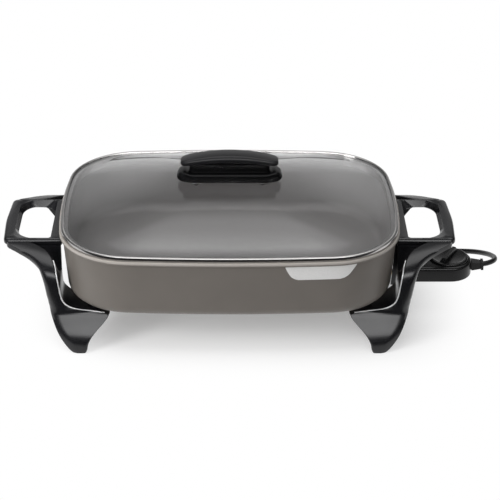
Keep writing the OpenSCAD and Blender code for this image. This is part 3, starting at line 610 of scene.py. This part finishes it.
baseSettings = {
    "half": 63, "low": 167.2, "height": 11, "width": 13,
    "endHeight": 14, "endMiddle": 0.88, "endReach": 0.14,  # the swelling near each end
    "endPower": 9, "endWidth": 0.36, "endTop": 5.2, "endLow": 5,
    "round": 2.6, "roundLow": 1.8, "stations": 44,
}


def makeCoverBase(s):
    rings = []
    for t in stationsAlong(s["stations"]):
        end = easeEnd(t, s["endPower"])
        swell = max(0, 1 - ((abs(t) - s["endMiddle"]) / s["endReach"]) ** 2)
        top = s["low"] + s["height"] + (s["endHeight"] - s["height"]) * swell - s["endTop"] * (1 - end)
        low = s["low"] + s["endLow"] * (1 - end)
        w = s["width"] * (s["endWidth"] + (1 - s["endWidth"]) * end)
        section = roundedSection(w, low, top, s["roundLow"], min(s["round"], 0.6 * w))
        rings.append([(t * s["half"], y, z) for y, z in section])
    base = loftPiece("coverBase", rings, "deepBlack", "cover", 50)
    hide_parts("cover_handle_base")


webSettings = {
    "half": 48, "depth": 6, "intoBase": 1.5, "intoGrip": 11,
    # height above the web's foot or below its top, with how far it flares out there
    "foot": [(0, 1.2), (2, 0.5), (3.5, 0)], "top": [(3, 0), (1.2, 0.6), (0, 1.6)],
}


def makeCoverWeb(s, base, grip):
    low = base["low"] + base["height"] - s["intoBase"]
    high = grip["top"] - s["intoGrip"]
    rows = [(low + up, flare) for up, flare in s["foot"]] + [(high - down, flare) for down, flare in s["top"]]
    rings = []
    for z, flare in rows:
        ring = []
        for side, start in ((1, -90), (-1, 90)):
            for k in range(13):
                a = math.radians(start + 15 * k)
                r = s["depth"] + flare
                ring.append((side * (s["half"] - s["depth"]) + r * math.cos(a), r * math.sin(a), z))
        rings.append(ring)
    loftPiece("coverWeb", rings, "deepBlack", "cover", 50)


makeCoverGrip(gripSettings)
makeCoverBase(baseSettings)
makeCoverWeb(webSettings, baseSettings, gripSettings)
print("cover handle made")


# end frames: rounded corners in the hand holes, and a pale bead down each leg's inner edge whose colour is a
# painted highlight
cornerSettings = {
    "far": 257.5, "half": 50.5, "slant": 3.5, "top": 114, "intoFrame": 2.5,
    "frontRound": (27, 32), "rearRound": (17, 24),
    # depth below the top, share of the slant and how far the edge draws back there
    "rows": [(0.35, 0, 1.4), (0.7, 0, 0.6), (1.5, 0.06, 0.1), (5, 0.5, 0), (8, 0.94, 0), (8.65, 1, 0.7)],
}


def makeHoleCorner(name, side, front, s):
    rx, ry = s["frontRound"] if front else s["rearRound"]
    outerX = s["far"] + s["intoFrame"]
    rings = []
    for depth, share, back in s["rows"]:
        far, half = s["far"] - s["slant"] * share, s["half"] - s["slant"] * share
        outerY = -half - s["intoFrame"]
        ring = [(far - rx - back, outerY), (outerX, outerY), (outerX, -half + ry + back)]
        for k in range(15):
            a = math.radians(90 * k / 14)
            ring.append((far - rx + (rx + back) * math.cos(a), -half + ry - (ry + back) * math.sin(a)))
        rings.append([(side * x, y if front else -y, s["top"] - depth) for x, y in ring])
    loftPiece(name, rings, "blackMoulding", "skillet", 35)


beadSettings = {
    "radius": 0.85, "lip": 203.5, "aside": 0.45, "behind": 1.2, "steps": 8, "sides": 3,
    # forward, height, lean and inner edge past the lip, down the face of a leg
    "rows": [
        (87, 103, 56, 2.8), (95, 98, 40, 0.2), (101, 91.5, 22, -1.2), (104.2, 83.5, 8, -2.7),
        (105, 75, 0, -4), (105.5, 62, 0, -6.3), (106, 56, 0, -9), (106.5, 51.5, 0, -14),
        (107, 48.3, 0, -21.8), (107.6, 45.6, 0, -42), (108, 43.5, 0, -57),
    ],
}


# the bead's pale colour stands in for the highlight along the leg's inner edge: a painted highlight
def makeEdgeBead(name, side, front, s):
    points = []
    for forward, height, lean, edge in s["rows"]:
        a = math.radians(lean)
        y = -forward + s["behind"] * math.cos(a)
        x = side * (s["lip"] + edge + s["aside"])
        points.append((x, y if front else -y, height - s["behind"] * math.sin(a)))
    bead = roundBar(name, points, "paintedEdgeHighlight", s)
    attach(bead, "skillet")


for sideName, side in (("left", -1), ("right", 1)):
    for endName, front in (("Front", True), ("Rear", False)):
        makeHoleCorner(f"{sideName}{endName}HoleCorner", side, front, cornerSettings)
        makeEdgeBead(f"{sideName}{endName}EdgeHighlightBead", side, front, beadSettings)
print("end frames finished")


# finishes on the frame's own meshes
dressing = {
    "pan": "panCoat", "heating_element": "sheathSteel", "terminal_insulators": "ceramic",
    "terminal_pins": "brightSteel", "badge_plate": "badgeSilver", "left_frame": "blackMoulding",
    "right_frame": "blackMoulding", "frame_screws": "brightSteel", "terminal_guard": "blackMoulding",
    "guard_screws": "brightSteel", "cover_glass": "coverGlass", "cover_rim": "rimSteel",
    "cover_handle_gasket": "blackRubber", "cover_screws": "brightSteel", "cover_washers": "dullSteel",
    "control_bottom": "controlBlack", "control_top": "controlBlack", "control_screws": "brightSteel",
    "contact_block": "phenolic", "contact_sleeves": "brass", "probe": "brightSteel",
    "thermostat_stack": "ceramic", "thermostat_blades": "brass", "dial_knob": "controlBlack",
    "dial_shaft": "dullSteel", "strain_relief": "blackRubber", "cord_tie": "blackRubber",
    "plug_body": "blackRubber", "plug_blades": "brass",
}
softCreases = {"cover_rim": 50}  # nodes whose creases are steeper than the usual 35 degrees

for node, finish in dressing.items():
    piece = nodes[node]
    piece.data.materials.clear()
    piece.data.materials.append(material[finish])
    smoothTo(piece, softCreases.get(node, 35))
print("nodes dressed:", len(dressing))
